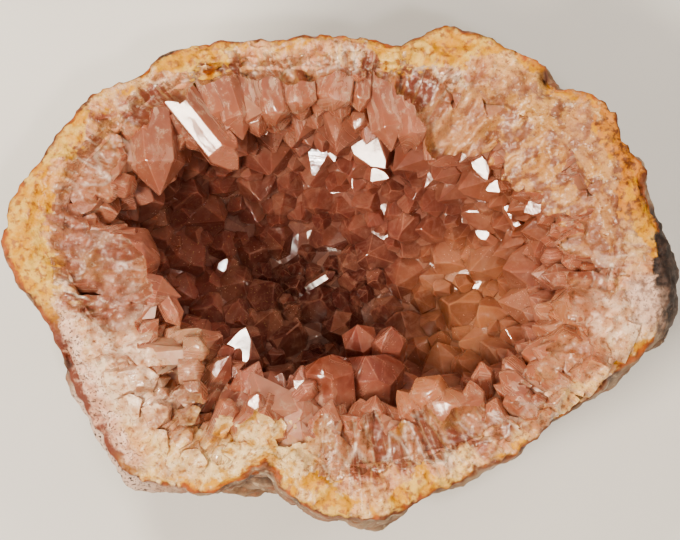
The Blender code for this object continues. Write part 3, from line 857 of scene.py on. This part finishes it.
def placeHollow(base, kinds, group, taken):
    # crystals all over the hollow's wall and floor: large ones first, then ever smaller ones between them
    chance.seed(crystalValues["hollowSeed"])
    mesh = base.data
    mesh.calc_loop_triangles()
    focus = Vector((*hollowMiddle, 38))
    lowest, highest = 8, 43
    faces, sums, total = [], [], 0.0  # sums let a face be drawn by its area
    for face in mesh.loop_triangles:
        middle = face.center / mm
        if face.normal.dot((focus - middle).normalized()) > 0.1 and lowest < middle.z < highest:
            total += face.area
            faces.append(face)
            sums.append(total)
    made = 0
    for tries, low, high in crystalValues["hollowPasses"]:
        for _ in range(tries):
            face = faces[min(bisectLeft(sums, chance.uniform(0, total)), len(faces) - 1)]
            corners = [mesh.vertices[index].co / mm for index in face.vertices]
            a, b = sorted((chance.random(), chance.random()))
            point = corners[0] * a + corners[1] * (b - a) + corners[2] * (1 - b)
            width = chance.uniform(low, high)
            jitter = Vector([chance.gauss(0, crystalValues["scatter"]) for _ in range(3)])
            kind, spin, tone = chance.choice(kinds), chance.uniform(0, math.tau), chance.gauss(0, 1)
            lift = crystalValues["hollowLift"] + width * chance.uniform(0.22, 0.5)
            if width > 7 and point.z > 37:
                continue  # so wide a crystal would come out through the rim
            inward = (focus - point).normalized()
            aim = (face.normal * 0.5 + inward * 0.5 + Vector((0, 0, 0.3)) + jitter).normalized()
            tip = point + aim * lift
            core = tip - aim * width * 0.3
            if isClear(core, width, taken, crystalValues["hollowSpacing"]):
                placeCrystal(kind, tip, aim, width, max(lift + 2.0, 1.4 * width), spin, tone, group)
                taken.append((core, width))
                made += 1
    print("crystals in the hollow", made)


def fingerShare(angle):
    # 1 where rounded fingers of quartz lie over the band, at the lower left and lower right, and 0 elsewhere
    left = smooth(192, 202, angle) * smooth(246, 236, angle)
    return left + smooth(312, 322, angle) * smooth(358, 348, angle)


def fractureHeight(lines, x, y):
    # height of the broken surface over the crystals of the rim; it rises quickly over the hollow
    place = Vector((x, y, rimTop)) * mm
    angle = directionOf(x, y)
    inward, level = lines.radius(angle) - math.hypot(x, y), lines.height(angle)
    reach = between(breakReaches, angle) + 2.0 * noise.noise(Vector((x, y, 5)) / 3.0)
    fall = between(breakReaches, angle, 2) * min(max(inward, 0), reach)
    rise = 7.0 * smooth(reach, reach + 5.0, inward)
    height = level + 0.15 + bandRelief(place, inward) / mm - fall + rise
    if inward < 0.8:
        # over the band it is the band's own surface, down to a ragged line where the crust goes under it
        waver = 2.2 * noise.noise(Vector((x, y, 3)) / 3.2) + 1.4 * noise.noise(Vector((x, y, 8)) / 1.4)
        ragged = min(waver - 2.2, -0.9)
        band = lines.band(x, y) + 0.1 - 1.4 * smooth(ragged + 0.5, ragged - 0.5, inward)
        height = band + (height - band) * smooth(-0.9, 0.8, inward)
    height += 2.4 * fingerShare(angle) * smooth(-9, -5, inward)
    return min(height, shellValues["tallest"] - 0.2)


def makeFracture(lines):
    # what lies over the broken surface, to be cut away
    width, depth, top, step = 120, 90, 70, crystalValues["breakStep"]
    across, along = round(width / step), round(depth / step)
    bpy.ops.object.select_all(action="DESELECT")
    bpy.ops.mesh.primitive_grid_add(x_subdivisions=across, y_subdivisions=along, size=1, calc_uvs=False)
    cutter = bpy.context.object
    cutter.name = "fracture"
    for vertex in cutter.data.vertices:
        x, y = vertex.co.x * width, vertex.co.y * depth
        vertex.co = Vector((x, y, fractureHeight(lines, x, y))) * mm
    bpy.ops.object.mode_set(mode="EDIT")
    bpy.ops.mesh.select_all(action="SELECT")
    bpy.ops.mesh.extrude_region_move(TRANSFORM_OT_translate={"value": (0, 0, 0.01)})
    bpy.ops.object.mode_set(mode="OBJECT")
    for vertex in cutter.data.vertices:
        if vertex.select:
            vertex.co.z = top * mm
    bpy.ops.object.mode_set(mode="EDIT")
    bpy.ops.mesh.select_all(action="SELECT")
    bpy.ops.mesh.normals_make_consistent(inside=False)
    bpy.ops.object.mode_set(mode="OBJECT")
    storeValues(cutter, "broken", [1.0] * len(cutter.data.polygons), "FACE")
    return cutter


def smoothBreaks(base):
    # the break and each rubbed crystal are shaded smooth, with sharp edges where they meet anything else
    tone, broken, rubbed = [[entry.value for entry in base.data.attributes[name].data]
                            for name in ("tone", "broken", "rubbed")]
    sides = {}
    for face in base.data.polygons:
        isBroken, isRubbed = broken[face.index] > 0.5, rubbed[face.index] > 0.5
        face.use_smooth = isBroken or isRubbed
        family = "broken" if isBroken else tone[face.index] if isRubbed else "flat"
        for key in face.edge_keys:
            sides.setdefault(key, set()).add(family)
    for edge in base.data.edges:
        families = sides.get(edge.key, {"flat"})
        edge.use_edge_sharp = "flat" in families or len(families) > 1


def softenFront(base):
    # the side that faces the hollow, smoothed to an even bed for finer crystals and kept off the stone
    mesh = base.data
    focus = Vector((*hollowMiddle, 36)) * mm
    for part in list(mesh.polygons) + list(mesh.edges):
        part.select = False
    for vertex in mesh.vertices:
        distance = stoneTree.find_nearest(vertex.co)[3]
        vertex.select = vertex.normal.dot(focus - vertex.co) > 0 and distance > 0.5 * mm
    front = [vertex.index for vertex in mesh.vertices if vertex.select]
    bpy.ops.object.mode_set(mode="EDIT")
    bpy.ops.mesh.vertices_smooth(factor=0.5, repeat=5)
    bpy.ops.object.mode_set(mode="OBJECT")
    least = crystalValues["bedThickness"] * mm
    for index in front:
        vertex = mesh.vertices[index]
        place, normal, _, distance = stoneTree.find_nearest(vertex.co)
        if distance < least or normal.dot(vertex.co - place) < 0:
            vertex.co = place + normal * least


def makeCrust(lines):
    base = copyOfNode("crystal_crust", "crystalCrust")
    softenFront(base)
    for name in ("tone", "facet", "rubbed"):
        base.data.attributes.new(name, "FLOAT", "FACE")
    toneOf(base.data, -1.0)
    layer = base.data.uv_layers.active or base.data.uv_layers.new(name="grain")
    layer.name = "grain"
    for loop in base.data.loops:
        layer.data[loop.index].uv = (0.3, -0.4)  # the bed has no streaks of its own
    group = bpy.data.collections.new("smallCrystals")
    bpy.context.scene.collection.children.link(group)
    sharp, blunt = makeKinds()
    taken = placeLarge(sharp, blunt, group)
    taken = placeMirrors(base, sharp, group, taken)
    taken = placeRim(lines, blunt + sharp[:2], group, taken)
    placeHollow(base, sharp, group, taken)
    fuse = base.modifiers.new("fuse", "BOOLEAN")
    fuse.operation, fuse.operand_type, fuse.collection, fuse.solver = "UNION", "COLLECTION", group, "MANIFOLD"
    applyModifiers(base)
    print("fused faces", len(base.data.polygons))
    cutter = makeFracture(lines)
    cut = base.modifiers.new("break", "BOOLEAN")
    cut.operation, cut.object, cut.solver = "DIFFERENCE", cutter, "MANIFOLD"
    applyModifiers(base)
    for spare in list(group.objects) + sharp + blunt + [cutter]:
        bpy.data.objects.remove(spare)
    bpy.data.collections.remove(group)
    smoothBreaks(base)
    print("crust faces", len(base.data.polygons))
    storeValues(base, "inFromBand", [lines.inward(vertex.co) for vertex in base.data.vertices])
    base.data.materials.clear()
    base.data.materials.append(amethystFinish())
    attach(base, "root")
    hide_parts("crystal_crust")


# Places in the hollow and along its edge with a colour of their own, one of them painted shade on the deepest
# floor: place, radius, blur, colour.
hollowTintsAndShade = [
    ((-20.0, 0.0, 24.0), 15.0, 9.0, colour(178, 112, 100)),
    ((20.0, -2.0, 24.0), 11.0, 7.0, colour(198, 138, 102)),
    ((2.0, 12.0, 30.0), 10.0, 7.0, colour(172, 102, 86)),
    # painted shade: the deepest floor darkened
    ((-4.0, -2.0, 16.0), 14.0, 7.0, colour(98, 52, 46)),
    ((27.0, 12.0, 36.0), 8.0, 5.0, colour(176, 112, 86)),
    ((-31.0, 18.0, 45.0), 8.0, 3.0, colour(176, 112, 92)),
    ((-36.0, 12.0, 45.0), 8.0, 4.0, colour(182, 116, 98)),
    ((-27.0, -15.5, 44.0), 7.0, 2.5, colour(224, 180, 146)),
    ((-17.0, -15.5, 41.0), 5.0, 2.0, colour(150, 84, 72)),
    ((-10.0, -19.0, 45.0), 8.0, 2.0, colour(204, 138, 120)),
    ((-1.0, -15.0, 43.0), 5.0, 2.0, colour(144, 74, 52)),
    ((6.0, -12.0, 38.0), 8.0, 3.0, colour(164, 94, 80)),
    ((14.0, -19.0, 45.0), 6.0, 2.5, colour(208, 142, 104)),
    ((36.0, -7.0, 44.0), 5.0, 3.0, colour(220, 160, 116)),
]


def amethystFinish():
    quartz = Finish("pinkAmethyst")
    tone, facet, worn = quartz.attribute("tone"), quartz.attribute("facet"), quartz.attribute("worn")
    broken, inward = quartz.attribute("broken"), quartz.attribute("inFromBand")
    height = quartz.part(quartz.place, "Z")
    clouds, veins, sugar = quartz.grain(5.5, 4), quartz.grain(1.6, 3), quartz.grain(0.35, 2)
    wisps = quartz.grain(2.2, 4, 0.7, quartz.shaken(quartz.place, 2.0, 2.6))
    grain = quartz.node("ShaderNodeUVMap", {"uv_map": "grain"})
    along = quartz.part(grain, "Y")  # 0 at a crystal's tip, below 0 towards its root, in widths
    own = quartz.node("ShaderNodeCombineXYZ", {}, [0.0, 0.0, tone * 9.0])
    bent = quartz.shaken(grain, 0.35, 0.12)
    threads = quartz.grain(1, 3, place=quartz.moved(quartz.stretched(bent, (14.0, 1.6, 0.0)), own))
    ridges = quartz.grain(1, 1, place=quartz.moved(quartz.stretched(grain, (2.0, 16.0, 0.0)), own))

    # deep in the hollow red-brown to mauve, an orange corner, painted shade on the deepest floor, paler and
    # pinker towards the rim
    body = quartz.mixed(height.step(20.0, 43.0), colour(154, 94, 82), colour(196, 130, 108))
    body = quartz.layered(body, [
        (quartz.spot(place, radius, blur), tint) for place, radius, blur, tint in hollowTintsAndShade
    ])
    body = quartz.layered(body, [
        ((clouds + tone * 0.07).step(0.48, 0.76) * 0.4, colour(218, 160, 132)),
        ((clouds - tone * 0.08).step(0.5, 0.26) * 0.45, colour(120, 68, 62)),
        (facet.step(0.0, 1.8) * 0.3, colour(220, 158, 132)),
        (facet.step(0.0, -1.6) * 0.35, colour(112, 62, 56)),
        (veins.step(0.5, 0.7) * 0.2, colour(216, 160, 136)),
        (wisps.step(0.52, 0.74) * 0.25, colour(226, 180, 156)),
        (wisps.step(0.46, 0.3) * 0.2, colour(128, 72, 62)),
    ])

    # the rim: salmon tips on mauve prisms with milky threads, cream where they grow out of the stone
    nearBand = (inward + (clouds - 0.5) * 9.0).step(14.0, 4.0) * height.step(33.0, 40.0)
    rootward = along.step(-0.3, -1.3)
    prism = quartz.mixed(rootward, colour(200, 130, 98), colour(176, 116, 100))
    prism = quartz.mixed(veins.step(0.44, 0.7) * 0.4, prism, colour(216, 162, 130))
    milk = threads.step(0.46, 0.7) * (0.1 + nearBand * (0.1 + rootward * 0.4))
    frost = veins.step(0.54, 0.66) * sugar.step(0.4, 0.58) * nearBand
    cream = (inward + (clouds - 0.5) * 9.0 + (veins - 0.5) * 4.0).step(3.0, -0.6) * height.step(36.0, 41.0)
    stony, opaque = brokenStone(quartz, inward)
    # painted sparkle: pale gold flecks standing in for glints, on the left rim and deep on the left
    paintedGoldSparkle = quartz.spot((-34.5, 21.5, 45.5), 2.8, 1.0) + quartz.spot((-22.0, 3.0, 26.0), 14.0, 6.0) * 0.7
    body = quartz.layered(body, [
        (nearBand * 0.65, prism),
        (milk, colour(238, 206, 180)),
        (frost * 0.5, colour(242, 220, 198)),
        (cream * 0.75, stony),
        (worn * (0.04 + nearBand * 0.12), colour(236, 200, 176)),
        (broken * 0.9, stony),
        # painted sparkle in pale gold
        (paintedGoldSparkle * sugar.step(0.66, 0.7), colour(240, 206, 140)),
    ])

    streaks = threads.step(0.48, 0.64) * height.step(28.0, 42.0)
    shine = 0.06 + streaks * 0.32 + clouds.step(0.5, 0.62) * 0.12 + sugar.step(0.5, 0.7) * 0.1
    rough = veins * 0.4 + sugar * (0.06 + broken * 1.2) + ridges * 0.2 + threads * nearBand * 0.6
    bump = quartz.node("ShaderNodeBump", {}, {"Strength": 0.3, "Distance": 0.0003, "Height": rough}, "Normal")
    clear = quartz.node("ShaderNodeBsdfPrincipled", {}, {
        "Base Color": body, "Roughness": shine, "Normal": bump, "IOR": 1.54, "Transmission Weight": 0.4,
        "Subsurface Weight": 0.6, "Subsurface Radius": (1.0, 0.55, 0.42), "Subsurface Scale": 0.002})
    dull = quartz.stoneSurface(body, 0.2 + shine * 0.6, bump)
    stoniness = (broken * 0.95 + cream * 0.5) * opaque
    return quartz.done(quartz.node("ShaderNodeMixShader", {}, [stoniness, clear, dull]))


def makeStage():
    bpy.ops.object.select_all(action="DESELECT")
    bpy.ops.mesh.primitive_plane_add(size=4, location=(0, 0, 0))
    floor = bpy.context.object
    floor.name = "floor"
    paper = Finish("palePaper")
    tint = paper.mixed(paper.grain(30, 3), colour(214, 212, 208), colour(222, 220, 217))
    floor.data.materials.append(paper.done(paper.node("ShaderNodeBsdfPrincipled", {},
                                                      {"Base Color": tint, "Roughness": 0.8})))


lightValues = {
    "keyLight": {"place": (-0.5, -0.42, 0.85), "size": 0.26, "power": 12.8, "tint": (1.0, 0.9, 0.76)},
    "topLight": {"place": (-0.3, 0.5, 0.9), "size": 0.15, "power": 5.0, "tint": (1.0, 0.92, 0.81)},
    "fillLight": {"place": (0.7, 0.3, 0.8), "size": 0.7, "power": 5, "tint": (1.0, 0.9, 0.77)},
    "sparkLight": {"place": (0.12, -0.3, 1.0), "size": 0.05, "power": 2.0, "tint": (1.0, 0.95, 0.9)},
}
airValues = {"tint": (1.0, 0.93, 0.83), "strength": 0.24}  # the studio's own soft light


def makeLights():
    for name, values in lightValues.items():
        data = bpy.data.lights.new(name, "AREA")
        data.shape, data.size = "SQUARE", values["size"]
        data.energy, data.color = values["power"], values["tint"]
        light = bpy.data.objects.new(name, data)
        light.location = values["place"]
        light.rotation_euler = (Vector((0, 0, 0.03)) - light.location).to_track_quat("-Z", "Y").to_euler()
        light.visible_glossy = name != "fillLight"  # a soft fill that no facet mirrors
        bpy.context.scene.collection.objects.link(light)
    world = bpy.data.worlds.new("studio")
    world.use_nodes = True
    air = world.node_tree.nodes["Background"].inputs
    air["Color"].default_value = (*airValues["tint"], 1)
    air["Strength"].default_value = airValues["strength"]
    bpy.context.scene.world = world
    bpy.context.scene.view_settings.look = "AgX - Medium High Contrast"


cameraValues = {"target": (-0.0004, 0.0004, 0.044), "distance": 0.42, "elevation": 80, "lens": 136.2}


def cameraPlace():
    return Vector(cameraValues["target"]) + aimOf(-90, cameraValues["elevation"]) * cameraValues["distance"]


def makeCamera():
    data = bpy.data.cameras.new("camera")
    data.lens, data.sensor_width, data.clip_start = cameraValues["lens"], 36, 0.01
    camera = bpy.data.objects.new("camera", data)
    camera.location = cameraPlace()
    camera.rotation_euler = aimOf(-90, cameraValues["elevation"]).to_track_quat("Z", "Y").to_euler()
    bpy.context.scene.collection.objects.link(camera)
    bpy.context.scene.camera = camera


makeCamera()
makeLights()
makeStage()
print("stage ready")
rimLine = makeShell()
print("shell ready")
makeCrust(rimLine)
print("crystals ready")
